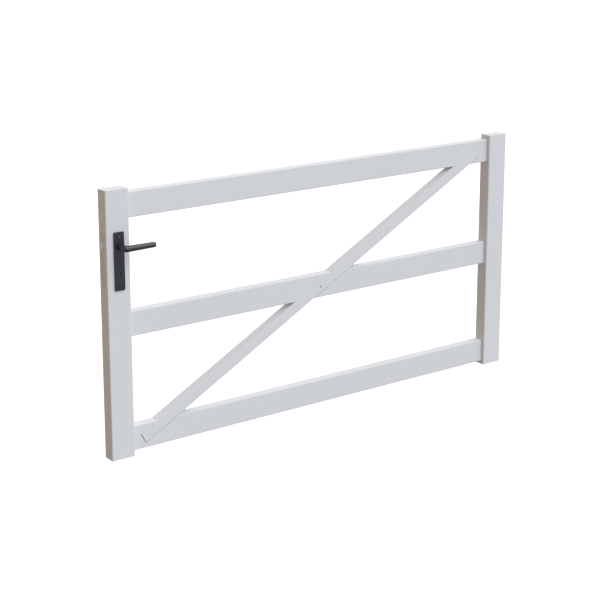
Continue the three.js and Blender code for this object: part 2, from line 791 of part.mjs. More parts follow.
function addFurniture() {
  addPiece("outer_plate", plate(-FIT, 1, PLATE_BOLT.radius), blackCoat());
  addPiece("inner_plate", plate(SEAT_V, -1, SLEEVE.radius), blackCoat());
  addPiece("lever_bush", bush(PLATE_FRONT - FIT - 1, -FIT), nylon());
  addPiece("knob_bush", bush(PLATE_BACK + FIT + 1, SEAT_V), nylon());
  addPiece("lever_handle", lever(), blackCoat());
  addPiece("turning_knob", knob(), blackCoat());
  addPiece("spindle", squareBar(SPINDLE.side, SPINDLE.front, SPINDLE.back), satinSteel());
  addPiece("lever_grub_screw", grubScrew(GRUB.front), screwSteel());
  addPiece("knob_grub_screw", grubScrew(GRUB.back), screwSteel());
  for (const [name, height] of Object.entries(PLATE_BOLTS)) {
    addPiece(`plate_bolt_${name}`, plateBolt(height), screwSteel());
    addPiece(`plate_sleeve_nut_${name}`, sleeveNut(height), screwSteel());
  }
}

// ---------------------------------------------------------------- hinges

// The holes for every coach screw, in whichever timber it enters.
function coachScrewHoles() {
  const holes = [];
  for (const height of Object.values(HINGE_HEIGHTS)) {
    for (const place of COACH_SCREW_PLACES) {
      holes.push(
        rodV(
          COACH_SCREW.radius + FIT,
          GATE_WIDTH - place,
          height,
          STILE_DEPTH - COACH_SCREW.length - FIT,
          STILE_DEPTH + 1,
          COARSE,
        ),
      );
    }
  }
  return holes;
}

// A flat band with its end rolled into an eye round the hinge axis.
function strap(height) {
  const { length, height: bandHeight, thick } = STRAP;
  const foot = height - bandHeight / 2;
  const bandBack = SEAT_V + thick;
  const band = box([GATE_WIDTH - length, SEAT_V, foot], [HINGE_U, bandBack, foot + bandHeight]);
  const tail = new THREE.CylinderGeometry(bandHeight / 2, bandHeight / 2, thick, MEDIUM);
  const end = solid(tail.translate(GATE_WIDTH - length, SEAT_V + thick / 2, height));
  const eye = turnedUpright(
    [[foot + bandHeight, 0], [foot + bandHeight, EYE_RADIUS], [foot, EYE_RADIUS], [foot, 0]],
    HINGE_U,
    HINGE_V,
    FINE,
  );
  const bore = turnedUpright(
    [
      [foot + bandHeight + 1, 0],
      [foot + bandHeight + 1, PIN_RADIUS + FIT],
      [foot - 1, PIN_RADIUS + FIT],
      [foot - 1, 0],
    ],
    HINGE_U,
    HINGE_V,
    FINE,
  );
  const screwHole = COACH_SCREW.radius + 0.5;
  const holes = COACH_SCREW_PLACES.map((place) =>
    rodV(screwHole, GATE_WIDTH - place, height, SEAT_V - 1, bandBack + 1, COARSE),
  );
  return cut(union(band, end, eye), bore, ...holes);
}

// A hexagon-headed wood screw, entering from the back.
function coachScrew(place, height) {
  const u = GATE_WIDTH - place;
  const face = SEAT_V + STRAP.thick + FIT;
  const { radius, flats, headHeight, length } = COACH_SCREW;
  const shank = rodV(radius, u, height, STILE_DEPTH - length, face + 1, COARSE);
  const across = flats / 2 / Math.cos(Math.PI / 6);
  const head = new THREE.CylinderGeometry(across, across, headHeight, 6);
  head.translate(u, face + headHeight / 2, height);
  return union(shank, solid(head));
}

// The pin: a thinner length through the eye, and a thicker stem that is welded to the post plate.
function hingePin({ eye, side }) {
  const farEnd = eye - side * (STRAP.height / 2 + 6);
  const shoulder = eye + side * (STRAP.height / 2 + FIT + WASHER_THICK + FIT);
  const stemEnd = shoulder + side * STEM_LENGTH;
  const profile = [
    [farEnd, 0],
    [farEnd, PIN_RADIUS - 1.5],
    [farEnd + side * 2, PIN_RADIUS],
    [shoulder, PIN_RADIUS],
    [shoulder, STEM_RADIUS],
    [stemEnd, STEM_RADIUS],
    [stemEnd, 0],
  ];
  return turnedUpright(profile, HINGE_U, HINGE_V, FINE);
}

function thrustWasher({ eye, side }) {
  const near = eye + side * (STRAP.height / 2 + FIT);
  const far = near + side * WASHER_THICK;
  const low = Math.min(near, far);
  const high = Math.max(near, far);
  const inner = PIN_RADIUS + FIT;
  const outer = EYE_RADIUS - 0.8;
  return turnedUpright(
    [[high, inner], [high, outer], [low, outer], [low, inner], [high, inner]],
    HINGE_U,
    HINGE_V,
    FINE,
  );
}

// A narrow plate for the post's back face, with its screw holes in a column.
function postPlate({ eye, side }) {
  const middle = eye + side * PLATE_OFFSET;
  const { width, height, thick, hole } = POST_PLATE;
  const shape = bar(width, height, thick, 3);
  shape.rotateX(Math.PI / 2).translate(POST_PLATE_U, SEAT_V + thick, middle);
  const holes = POST_PLATE_HOLES.map((shift) =>
    rodV(hole, POST_PLATE_U + 3, middle + shift, SEAT_V - 1, SEAT_V + thick + 1, COARSE),
  );
  return cut(solid(shape), ...holes);
}

function addHinges() {
  for (const [name, hinge] of Object.entries(HINGES)) {
    addPiece(`${name}_strap`, strap(hinge.eye), blackSteel());
    addPiece(`${name}_hinge_pin`, hingePin(hinge), galvanised());
    addPiece(`${name}_thrust_washer`, thrustWasher(hinge), galvanised());
    addPiece(`${name}_post_plate`, postPlate(hinge), galvanised());
    COACH_SCREW_PLACES.forEach((place, index) => {
      addPiece(`${name}_coach_screw_${index + 1}`, coachScrew(place, hinge.eye), blackSteel());
    });
  }
}

// ---------------------------------------------------------------- the gate

addTimber();
addLock();
addFurniture();
addHinges();

gate.position.set(-POST_PLATE_U, -SEAT_V, -(HINGES.lower.eye + PLATE_OFFSET));

export default gate;
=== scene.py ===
"""A painted timber garden gate with its lever set, mortice lock and band hinges.

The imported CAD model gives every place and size. This script copies or rebuilds its pieces with finer
edges and fuller fixings, gives each one a material, and adds the floor, the light and the camera. Two
springs and two screws inside the lock keep their CAD shapes.
Lengths are in metres. X runs along the gate, Y runs back from its front, Z is up.
"""

import math

import bmesh
import bpy
from mathutils import Matrix, Vector


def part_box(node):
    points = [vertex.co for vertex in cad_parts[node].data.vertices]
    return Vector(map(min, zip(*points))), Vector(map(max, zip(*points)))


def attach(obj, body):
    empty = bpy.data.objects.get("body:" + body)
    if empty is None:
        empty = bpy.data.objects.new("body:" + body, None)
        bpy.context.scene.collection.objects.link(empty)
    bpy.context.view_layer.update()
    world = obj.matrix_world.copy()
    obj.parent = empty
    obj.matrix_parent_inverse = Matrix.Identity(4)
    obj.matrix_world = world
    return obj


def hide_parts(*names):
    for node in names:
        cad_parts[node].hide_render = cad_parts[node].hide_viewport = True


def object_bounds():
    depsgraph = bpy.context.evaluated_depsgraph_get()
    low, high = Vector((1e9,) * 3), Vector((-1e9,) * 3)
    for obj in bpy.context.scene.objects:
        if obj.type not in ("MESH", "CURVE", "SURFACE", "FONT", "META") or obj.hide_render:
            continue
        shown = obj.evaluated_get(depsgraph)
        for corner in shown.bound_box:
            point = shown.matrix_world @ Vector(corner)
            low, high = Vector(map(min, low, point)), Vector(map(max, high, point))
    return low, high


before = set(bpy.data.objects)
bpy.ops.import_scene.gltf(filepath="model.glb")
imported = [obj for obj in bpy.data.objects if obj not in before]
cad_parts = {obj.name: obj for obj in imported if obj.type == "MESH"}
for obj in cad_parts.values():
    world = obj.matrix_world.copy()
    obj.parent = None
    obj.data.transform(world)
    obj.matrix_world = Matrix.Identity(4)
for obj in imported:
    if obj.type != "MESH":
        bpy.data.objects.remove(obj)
CAD_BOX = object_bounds()
MM = 0.001

# ------------------------------------------------------------------ camera

CAMERA_PLACE = Vector((-4.4414, -4.5893, 1.9794))
CAMERA_YAW = math.radians(36.36)  # turned from looking along +Y towards +X
CAMERA_PITCH = math.radians(13.06)  # downwards
CAMERA_LENS = 91.1
CAMERA_SENSOR = 36.0
CAMERA_SHIFT = -0.15


def add_camera():
    data = bpy.data.cameras.new("camera")
    data.sensor_width = CAMERA_SENSOR
    data.lens = CAMERA_LENS
    data.shift_y = CAMERA_SHIFT
    data.clip_start = 0.05
    data.clip_end = 200.0
    camera = bpy.data.objects.new("camera", data)
    bpy.context.scene.collection.objects.link(camera)
    look = Vector((
        math.sin(CAMERA_YAW) * math.cos(CAMERA_PITCH),
        math.cos(CAMERA_YAW) * math.cos(CAMERA_PITCH),
        -math.sin(CAMERA_PITCH),
    ))
    camera.location = CAMERA_PLACE
    camera.rotation_mode = "QUATERNION"
    camera.rotation_quaternion = look.to_track_quat("-Z", "Y")
    bpy.context.scene.camera = camera


# ------------------------------------------------------------------ shader nodes


class Shader:
    """A material's node tree, with short ways to add the nodes used here."""

    def __init__(self, name):
        self.material = bpy.data.materials.new(name)
        self.material.use_nodes = True
        self.tree = self.material.node_tree
        self.tree.nodes.clear()
        self.output = self.node("ShaderNodeOutputMaterial")
        self.surface = self.node("ShaderNodeBsdfPrincipled")
        self.link(self.surface.outputs["BSDF"], self.output.inputs["Surface"])
        self.place = self.node("ShaderNodeTexCoord").outputs["Object"]

    def node(self, kind, **settings):
        made = self.tree.nodes.new(kind)
        for key, value in settings.items():
            setattr(made, key, value)
        return made

    def link(self, source, target):
        self.tree.links.new(source, target)

    def feed(self, target, value):
        if isinstance(value, bpy.types.NodeSocket):
            self.link(value, target)
        else:
            target.default_value = value

    def set(self, **values):
        """Values or sockets for the surface's own inputs, with _ for a space in their names."""
        for key, value in values.items():
            self.feed(self.surface.inputs[key.replace("_", " ")], value)

    def mapped(self, scale, rotation=(0, 0, 0), shift=(0, 0, 0), vector=None):
        made = self.node("ShaderNodeMapping")
        self.link(vector or self.place, made.inputs["Vector"])
        made.inputs["Location"].default_value = shift
        made.inputs["Rotation"].default_value = rotation
        made.inputs["Scale"].default_value = scale
        return made.outputs["Vector"]

    def noise(self, vector, scale, detail=4.0, roughness=0.5, distortion=0.0):
        made = self.node("ShaderNodeTexNoise")
        self.link(vector, made.inputs["Vector"])
        made.inputs["Scale"].default_value = scale
        made.inputs["Detail"].default_value = detail
        made.inputs["Roughness"].default_value = roughness
        made.inputs["Distortion"].default_value = distortion
        return made.outputs["Fac"]

    def cells(self, vector, scale, output="Distance", feature="F1", randomness=1.0):
        made = self.node("ShaderNodeTexVoronoi", feature=feature)
        self.link(vector, made.inputs["Vector"])
        made.inputs["Scale"].default_value = scale
        made.inputs["Randomness"].default_value = randomness
        return made.outputs[output]

    def rings(self, vector, scale, distortion, detail=3.0):
        made = self.node("ShaderNodeTexWave", wave_type="BANDS", bands_direction="Y")
        self.link(vector, made.inputs["Vector"])
        made.inputs["Scale"].default_value = scale
        made.inputs["Distortion"].default_value = distortion
        made.inputs["Detail"].default_value = detail
        made.inputs["Detail Scale"].default_value = 0.6
        return made.outputs["Fac"]

    def ramp(self, value, *stops):
        """Each stop is (place, level), where a level is a number or a colour."""
        made = self.node("ShaderNodeValToRGB")
        elements = made.color_ramp.elements
        while len(elements) < len(stops):
            elements.new(0.5)
        for element, (place, level) in zip(elements, stops):
            element.position = place
            element.color = (level, level, level, 1) if isinstance(level, (int, float)) else (*level, 1)
        self.link(value, made.inputs["Fac"])
        return made.outputs["Color"]

    def maths(self, operation, first, second=0.0, clamp=False):
        made = self.node("ShaderNodeMath", operation=operation, use_clamp=clamp)
        self.feed(made.inputs[0], first)
        self.feed(made.inputs[1], second)
        return made.outputs["Value"]

    def mix(self, share, first, second, blend="MIX"):
        made = self.node("ShaderNodeMix", data_type="RGBA", blend_type=blend)
        self.feed(made.inputs["Factor"], share)
        for socket, value in ((made.inputs[6], first), (made.inputs[7], second)):
            self.feed(socket, value if isinstance(value, bpy.types.NodeSocket) else (*value, 1))
        return made.outputs[2]

    def span(self, value, low, high):
        made = self.node("ShaderNodeMapRange")
        self.link(value, made.inputs["Value"])
        made.inputs["To Min"].default_value = low
        made.inputs["To Max"].default_value = high
        return made.outputs["Result"]

    def edges(self, radius):
        """1 on faces, falling towards 0 along sharp outer and inner edges."""
        rounded = self.node("ShaderNodeBevel", samples=4)
        rounded.inputs["Radius"].default_value = radius
        flat = self.node("ShaderNodeNewGeometry")
        dot = self.node("ShaderNodeVectorMath", operation="DOT_PRODUCT")
        self.link(rounded.outputs["Normal"], dot.inputs[0])
        self.link(flat.outputs["Normal"], dot.inputs[1])
        return dot.outputs["Value"]

    def bump(self, height, distance, strength=1.0, normal=None):
        made = self.node("ShaderNodeBump")
        made.inputs["Strength"].default_value = strength
        made.inputs["Distance"].default_value = distance
        self.link(height, made.inputs["Height"])
        if normal:
            self.link(normal, made.inputs["Normal"])
        return made.outputs["Normal"]


PAINT = (0.796, 0.803, 0.814)
PAINT_THIN = (0.765, 0.760, 0.745)
PAINT_KNOT = (0.735, 0.700, 0.630)
PAINT_DUST = (0.640, 0.620, 0.590)


def painted_timber(name, grain_turn, seed):
    """White exterior paint on planed softwood. grain_turn brings the grain to the X axis."""
    shader = Shader(name)
    shift = (seed * 1.7, seed * 0.9, seed * 2.3)
    along = shader.mapped((1, 1, 1), grain_turn, shift)
    grain = shader.noise(shader.mapped((1.1, 34, 34), vector=along), 1.0, 6.0, 0.6, 0.5)
    figure = shader.rings(shader.mapped((0.35, 9, 9), vector=along), 1.4, 5.0)
    brush = shader.noise(shader.mapped((5, 420, 420), vector=along), 1.0, 3.0, 0.55)
    patches = shader.noise(along, 3.2, 3.0, 0.5)
    fine = shader.noise(along, 260, 2.0, 0.6)
    knots = shader.cells(shader.mapped((1.25, 3.4, 3.4), vector=along), 1.0)
    knot = shader.ramp(knots, (0.05, 1.0), (0.11, 0.0))
    edge = shader.edges(2.5 * MM)

    tone = shader.mix(shader.span(grain, 0.0, 0.45), PAINT, PAINT_THIN)
    tone = shader.mix(shader.maths("MULTIPLY", figure, 0.12), tone, PAINT_THIN)
    tone = shader.mix(shader.maths("MULTIPLY", knot, 0.30), tone, PAINT_KNOT)
    worn = shader.ramp(edge, (0.55, 0.35), (0.97, 0.0))
    speckle = shader.ramp(fine, (0.40, 0.0), (0.62, 1.0))
    tone = shader.mix(shader.maths("MULTIPLY", worn, speckle), tone, PAINT_DUST)
    tone = shader.mix(shader.span(patches, 0.0, 0.10), tone, PAINT_DUST)
    shader.set(Base_Color=tone, Roughness=shader.span(grain, 0.46, 0.62))
    shader.surface.inputs["Specular IOR Level"].default_value = 0.2

    normal = shader.bump(grain, 0.35 * MM, 0.55)
    normal = shader.bump(knot, 0.25 * MM, 0.5, normal)
    normal = shader.bump(brush, 0.05 * MM, 0.7, normal)
    shader.set(Normal=normal)
    return shader.material


def black_coat(name):
    """Black powder coat: an orange-peel skin, a little dust, and lighter rubbed edges."""
    shader = Shader(name)
    peel = shader.noise(shader.place, 900, 2.0, 0.45)
    dust = shader.noise(shader.place, 60, 5.0, 0.6)
    smear = shader.noise(shader.place, 14, 3.0, 0.5)
    edge = shader.edges(1.2 * MM)
    rubbed = shader.ramp(edge, (0.55, 0.55), (0.95, 0.0))
    tone = shader.mix(shader.span(dust, 0.0, 0.8), (0.013, 0.0135, 0.0145), (0.024, 0.025, 0.027))
    tone = shader.mix(rubbed, tone, (0.045, 0.046, 0.049))
    rough = shader.maths("ADD", shader.span(smear, 0.32, 0.43), shader.span(dust, -0.03, 0.05))
    shader.set(Base_Color=tone, Roughness=rough, Normal=shader.bump(peel, 0.03 * MM, 0.6))
    shader.surface.inputs["Specular IOR Level"].default_value = 0.85
    return shader.material


def black_steel(name):
    """Black e-coat on hot-rolled steel: a rougher skin, brown at the rubbed edges."""
    shader = Shader(name)
    scale = shader.noise(shader.place, 220, 5.0, 0.65)
    patches = shader.noise(shader.place, 22, 4.0, 0.6)
    edge = shader.edges(1.0 * MM)
    rubbed = shader.ramp(edge, (0.5, 0.7), (0.93, 0.0))
    scuffs = shader.ramp(shader.noise(shader.mapped((30, 30, 260)), 1.0, 4.0), (0.60, 0.0), (0.70, 0.5))
    tone = shader.mix(patches, (0.016, 0.016, 0.017), (0.034, 0.033, 0.032))
    tone = shader.mix(shader.maths("MULTIPLY", scuffs, 0.35), tone, (0.085, 0.080, 0.074))
    tone = shader.mix(rubbed, tone, (0.110, 0.085, 0.065))
    shader.set(Base_Color=tone, Roughness=shader.span(scale, 0.42, 0.68), Metallic=0.35)
    shader.set(Normal=shader.bump(scale, 0.08 * MM, 0.6))
    return shader.material


def galvanised(name):
    """Hot-dip zinc: large crystals of slightly different greys, and dull white bloom."""
    shader = Shader(name)
    wobble = shader.noise(shader.place, 90, 3.0)
    crystals = shader.cells(shader.place, 190, "Color")
    shade = shader.node("ShaderNodeSeparateColor")
    shader.link(crystals, shade.inputs[0])
    bloom = shader.ramp(shader.noise(shader.place, 34, 5.0, 0.65), (0.48, 0.0), (0.68, 1.0))
    tone = shader.mix(shade.outputs[0], (0.36, 0.375, 0.39), (0.56, 0.575, 0.59))
    tone = shader.mix(shader.maths("MULTIPLY", bloom, 0.5), tone, (0.62, 0.63, 0.63))
    rough = shader.maths("ADD", shader.span(shade.outputs[1], 0.30, 0.46), shader.span(bloom, 0.0, 0.2))
    shader.set(Base_Color=tone, Roughness=rough, Metallic=0.9)
    shader.set(Normal=shader.bump(wobble, 0.25 * MM, 0.5))
    return shader.material


def metal(name, dark, light, rough, brushed=(60, 900, 900), turn=(0, 0, 0), metallic=1.0):
    """Bare metal with a brushed direction, faint stains and rubbed edges."""
    shader = Shader(name)
    lines = shader.noise(shader.mapped(brushed, turn), 1.0, 3.0, 0.6)
    stains = shader.noise(shader.place, 75, 4.0, 0.6)
    rubbed = shader.ramp(shader.edges(0.8 * MM), (0.5, 0.5), (0.95, 0.0))
    tone = shader.mix(stains, dark, light)
    tone = shader.mix(shader.maths("MULTIPLY", lines, 0.35), tone, dark)
    tone = shader.mix(rubbed, tone, tuple(min(1.0, 1.25 * level) for level in light))
    shader.set(Base_Color=tone, Metallic=metallic)
    shader.set(Roughness=shader.maths("ADD", shader.span(lines, rough - 0.06, rough + 0.08),
                                      shader.span(stains, -0.03, 0.06)))
    shader.set(Normal=shader.bump(lines, 0.02 * MM, 0.5))
    return shader.material


def nylon(name):
    """Black moulded nylon with a fine spark-eroded texture."""
    shader = Shader(name)
    grit = shader.noise(shader.place, 1500, 2.0, 0.5)
    bloom = shader.noise(shader.place, 120, 4.0, 0.6)
    shader.set(Base_Color=shader.mix(bloom, (0.012, 0.012, 0.013), (0.024, 0.024, 0.025)))
    shader.set(Roughness=shader.span(bloom, 0.55, 0.72), Normal=shader.bump(grit, 0.04 * MM, 0.7))
    return shader.material


def weld_metal(name):
    """A galvanised weld bead, rippled by its shape: a gritty skin with blotches of duller zinc."""
    shader = Shader(name)
    grit = shader.noise(shader.place, 400, 4.0, 0.6)
    blotch = shader.noise(shader.place, 120, 3.0, 0.5)
    shader.set(Base_Color=shader.mix(blotch, (0.33, 0.34, 0.35), (0.50, 0.51, 0.52)))
    shader.set(Roughness=shader.span(grit, 0.42, 0.62), Metallic=0.85)
    shader.set(Normal=shader.bump(grit, 0.2 * MM, 0.6))
    return shader.material


# ------------------------------------------------------------------ mesh tools


def new_object(name, mesh):
    made = bpy.data.objects.new(name, mesh)
    bpy.context.scene.collection.objects.link(made)
    return made


def mesh_from(name, bm):
    bmesh.ops.recalc_face_normals(bm, faces=bm.faces)
    mesh = bpy.data.meshes.new(name)
    bm.to_mesh(mesh)
    bm.free()
    return mesh


def baked(piece):
    """Applies every modifier."""
    bpy.context.view_layer.update()
    evaluated = piece.evaluated_get(bpy.context.evaluated_depsgraph_get())
    mesh = bpy.data.meshes.new_from_object(evaluated)
    old = piece.data
    piece.modifiers.clear()
    piece.data = mesh
    bpy.data.meshes.remove(old)
    return piece


def smooth(piece, angle=38.0):
    """Smooth shading that stays crisp at sharp edges and flat on flat faces."""
    mesh = piece.data
    bm = bmesh.new()
    bm.from_mesh(mesh)
    for face in bm.faces:
        face.smooth = True
    for edge in bm.edges:
        edge.smooth = len(edge.link_faces) == 2 and edge.calc_face_angle() < math.radians(angle)
    bm.to_mesh(mesh)
    bm.free()
    weighted = piece.modifiers.new("weighted", "WEIGHTED_NORMAL")
    weighted.keep_sharp = True
    return piece


def soften(piece, width, segments=2, angle=50.0, weighted_only=False):
    """Rounds the sharp edges."""
    bevel = piece.modifiers.new("bevel", "BEVEL")
    bevel.width = width
    bevel.segments = segments
    bevel.limit_method = "WEIGHT" if weighted_only else "ANGLE"
    bevel.angle_limit = math.radians(angle)
    bevel.use_clamp_overlap = True
    return baked(piece)


def copy_of(node, name):
    """A CAD node's shape as a clean new mesh: corners merged, flat faces joined up."""
    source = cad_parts[node].data
    bm = bmesh.new()
    corners = [bm.verts.new(v.co) for v in source.vertices]
    for polygon in source.polygons:
        try:
            bm.faces.new([corners[index] for index in polygon.vertices])
        except ValueError:
            continue
    bmesh.ops.remove_doubles(bm, verts=bm.verts, dist=2e-6)
    bmesh.ops.dissolve_limit(
        bm, angle_limit=math.radians(0.4), verts=bm.verts[:], edges=bm.edges[:]
    )
    return new_object(name, mesh_from(name, bm))


AXES = {
    "X": Matrix(((0, 0, 1), (1, 0, 0), (0, 1, 0))),
    "Y": Matrix(((1, 0, 0), (0, 0, 1), (0, -1, 0))),
    "Z": Matrix.Identity(3),
}


def lathe(name, profile, centre, axis, segments=48):
    """A turned piece. Each profile point is (place along the axis, radius); ends lie on the axis."""
    turn = AXES[axis]
    bm = bmesh.new()
    rings = []
    for along, radius in profile:
        if radius < 1e-7:
            rings.append([bm.verts.new(turn @ Vector((0, 0, along)))])
            continue
        ring = []
        for step in range(segments):
            angle = 2 * math.pi * step / segments
            point = Vector((radius * math.cos(angle), radius * math.sin(angle), along))
            ring.append(bm.verts.new(turn @ point))
        rings.append(ring)
    for low, high in zip(rings, rings[1:]):
        for step in range(segments):
            after = (step + 1) % segments
            corners = [low[step % len(low)], low[after % len(low)],
                       high[after % len(high)], high[step % len(high)]]
            distinct = list(dict.fromkeys(corners))
            if len(distinct) > 2:
                bm.faces.new(distinct)
    bmesh.ops.translate(bm, verts=bm.verts, vec=Vector(centre))
    return new_object(name, mesh_from(name, bm))


def round_over(place, radius, depth, height, steps=5):
    """Profile points of a rounded rim that ends at place: depth inwards, height along."""
    points = []
    for step in range(steps + 1):
        angle = math.pi / 2 * step / steps
        points.append((place - height * (1 - math.sin(angle)), radius - depth * (1 - math.cos(angle))))
    return points


def prism(name, outline, low, high, axis):
    """An outline pushed along an axis from low to high. The outline is in the other two axes."""
    turn = AXES[axis]
    bm = bmesh.new()
    bottom = [bm.verts.new(turn @ Vector((x, y, low))) for x, y in outline]
    top = [bm.verts.new(turn @ Vector((x, y, high))) for x, y in outline]
    bm.faces.new(bottom)
    bm.faces.new(top)
    for index in range(len(outline)):
        after = (index + 1) % len(outline)
        bm.faces.new([bottom[index], bottom[after], top[after], top[index]])
    return new_object(name, mesh_from(name, bm))


def place(piece, centre):
    piece.data.transform(Matrix.Translation(Vector(centre)))
    return piece


def combine(piece, operation, others):
    """Applies a boolean with each of the others, and removes them."""
    for other in others:
        modifier = piece.modifiers.new("combine", "BOOLEAN")
        modifier.operation = operation
        modifier.solver = "EXACT"
        modifier.object = other
    baked(piece)
    for other in others:
        mesh = other.data
        bpy.data.objects.remove(other)
        bpy.data.meshes.remove(mesh)
    return piece


def carve(piece, *cutters):
    return combine(piece, "DIFFERENCE", cutters)


def fuse(piece, *others):
    return combine(piece, "UNION", others)


def polygon(sides, radius, turn=0.0):
    return [
        (radius * math.cos(turn + 2 * math.pi * step / sides),
         radius * math.sin(turn + 2 * math.pi * step / sides))
        for step in range(sides)
    ]


def cross(arm, width):
    """The outline of a cross recess."""
    a, w = arm, width / 2
    return [(-w, -a), (w, -a), (w, -w), (a, -w), (a, w), (w, w),
            (w, a), (-w, a), (-w, w), (-a, w), (-a, -w), (-w, -w)]


def slot_outline(length, width):
    return [(-length, -width / 2), (length, -width / 2), (length, width / 2), (-length, width / 2)]


def middle(node):
    low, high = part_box(node)
    return (low + high) / 2


def face_centre(low, high):
    """The middle of a box in X and Z."""
    return (low.x + high.x) / 2, (low.z + high.z) / 2


def finish_piece(piece, body, slot, material, *nodes):
    """Gives a piece its material and its body, and hides the CAD nodes it stands for."""
    piece.data.materials.clear()
    piece.data.materials.append(material)
    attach(piece, body)
    if nodes:
        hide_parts(*nodes)
    return piece


# ------------------------------------------------------------------ timber

ALONG_X = (0, 0, 0)
ALONG_Z = (0, math.radians(90), 0)
END_ROUNDING = 1.2 * MM


def brace_slope():
    low, high = middle("brace_screw_lower"), middle("brace_screw_upper")
    return math.atan2(high.z - low.z, high.x - low.x)


def end_edges_weighted(piece, direction, tolerance=2 * MM):
    """Marks the sharp edges round both ends of a timber, for the rounding."""
    mesh = piece.data
    reach = [direction.dot(v.co) for v in mesh.vertices]
    low, high = min(reach), max(reach)
    bm = bmesh.new()
    bm.from_mesh(mesh)
    layer = bm.edges.layers.float.new("bevel_weight_edge")
    for edge in bm.edges:
        places = [direction.dot(v.co) for v in edge.verts]
        at_end = max(places) < low + tolerance or min(places) > high - tolerance
        sharp = len(edge.link_faces) == 2 and edge.calc_face_angle() > math.radians(50)
        edge[layer] = 1.0 if at_end and sharp else 0.0
    bm.to_mesh(mesh)
    bm.free()


def add_timber():
    slope = brace_slope()
    timbers = [
        ("latch_stile", ALONG_Z, Vector((0, 0, 1))),
        ("hinge_stile", ALONG_Z, Vector((0, 0, 1))),
        ("bottom_rail", ALONG_X, Vector((1, 0, 0))),
        ("middle_rail", ALONG_X, Vector((1, 0, 0))),
        ("top_rail", ALONG_X, Vector((1, 0, 0))),
        ("diagonal_brace", (0, slope, 0), Vector((math.cos(slope), 0, math.sin(slope)))),
    ]
    for seed, (node, turn, direction) in enumerate(timbers):
        piece = copy_of(node, "painted_" + node)
        end_edges_weighted(piece, direction)
        soften(piece, END_ROUNDING, 3, weighted_only=True)
        smooth(piece)
        material = painted_timber("paint_" + node, turn, seed + 1)
        finish_piece(piece, "gate_leaf", "white_paint", material, node)


# ------------------------------------------------------------------ screws


FILLER_OVERLAP = 0.4 * MM


def wood_screw(node, body, material, slot="dull_screw_steel"):
    """A countersunk wood screw that enters along +Y, with a cross recess in a slightly domed head."""
    low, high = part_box(node)
    x, z = face_centre(low, high)
    radius = (high.x - low.x) / 2
    profile = [
        (low.y, 0),
        (low.y + 0.05 * MM, radius * 0.5),
        (low.y + 0.25 * MM, radius * 0.92),
        (low.y + 0.6 * MM, radius),
        (low.y + 0.9 * MM, radius * 0.98),
        (low.y + 3.3 * MM, radius * 0.5),
        (high.y - 5 * MM, radius * 0.45),
        (high.y, 0),
    ]
    piece = lathe("head_" + node, profile, (x, 0, z), "Y")
    recess = place(prism("recess", cross(radius * 0.55, radius * 0.24), -0.5 * MM, 1.5 * MM, "Y"),
                   (x, low.y, z))
    carve(piece, recess)
    return finish_piece(smooth(piece), body, slot, material, node)


def screw_filler(node, hole_radius, material):
    """The filler and paint over a countersunk screw's head. A hole in it shows the screw."""
    low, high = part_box(node)
    x, z = face_centre(low, high)
    radius = (high.x - low.x) / 2 + FILLER_OVERLAP
    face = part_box("diagonal_brace")[0].y + 0.1 * MM
    end = low.y - 0.05 * MM
    profile = [
        (end, hole_radius),
        (end, radius),
        (face, radius),
        (face + 0.15 * MM, radius * 0.6),
        (face + 0.2 * MM, hole_radius + 0.6 * MM if hole_radius else 0.0),
    ]
    if hole_radius:
        profile += [(face + 0.6 * MM, hole_radius), (end, hole_radius)]
    piece = lathe("filler_" + node, profile, (x, 0, z), "Y", 40)
    return finish_piece(smooth(piece), "gate_leaf", "white_paint", material)


def thread_rings(start, end, root, crest, pitch):
    """Profile points of a shank with plain rings, which stand for its thread."""
    points = []
    count = max(1, int((end - start) / pitch))
    for step in range(count):
        at = start + step * pitch
        points.append((at, root))
        points.append((at + pitch * 0.5, crest))
    points.append((start + count * pitch, root))
    return points


def plate_bolt(node, coat, steel, bare_radius):
    """A domed bolt head with a hexagon socket, coated but for a rubbed middle, and its shank."""
    low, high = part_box(node)
    x, z = face_centre(low, high)
    head = (high.x - low.x) / 2
    shank = 2.5 * MM
    rise = 2.4 * MM
    profile = [
        (low.y, 0),
        (low.y, head - 1.6 * MM),
        (low.y + 0.25 * MM, head - 1.0 * MM),
        (low.y + 0.9 * MM, head - 0.25 * MM),
        (low.y + 1.6 * MM, head),
        (low.y + rise, head),
        (low.y + rise, shank),
    ]
    profile += thread_rings(low.y + rise + 20 * MM, high.y - 1 * MM, shank * 0.86, shank, 0.8 * MM)
    profile += [(high.y, shank * 0.7), (high.y, 0)]
    piece = lathe("round_" + node, profile, (x, 0, z), "Y")
    socket = place(prism("socket", polygon(6, 1.75 * MM), -0.5 * MM, 1.6 * MM, "Y"), (x, low.y, z))
    carve(piece, socket)
    finish_piece(smooth(piece), "gate_leaf", "dull_screw_steel", coat, node)
    piece.data.materials.append(steel)
    for face in piece.data.polygons:
        reach = math.hypot(face.center.x - x, face.center.z - z)
        if reach < bare_radius or face.center.y > low.y + rise:
            face.material_index = 1


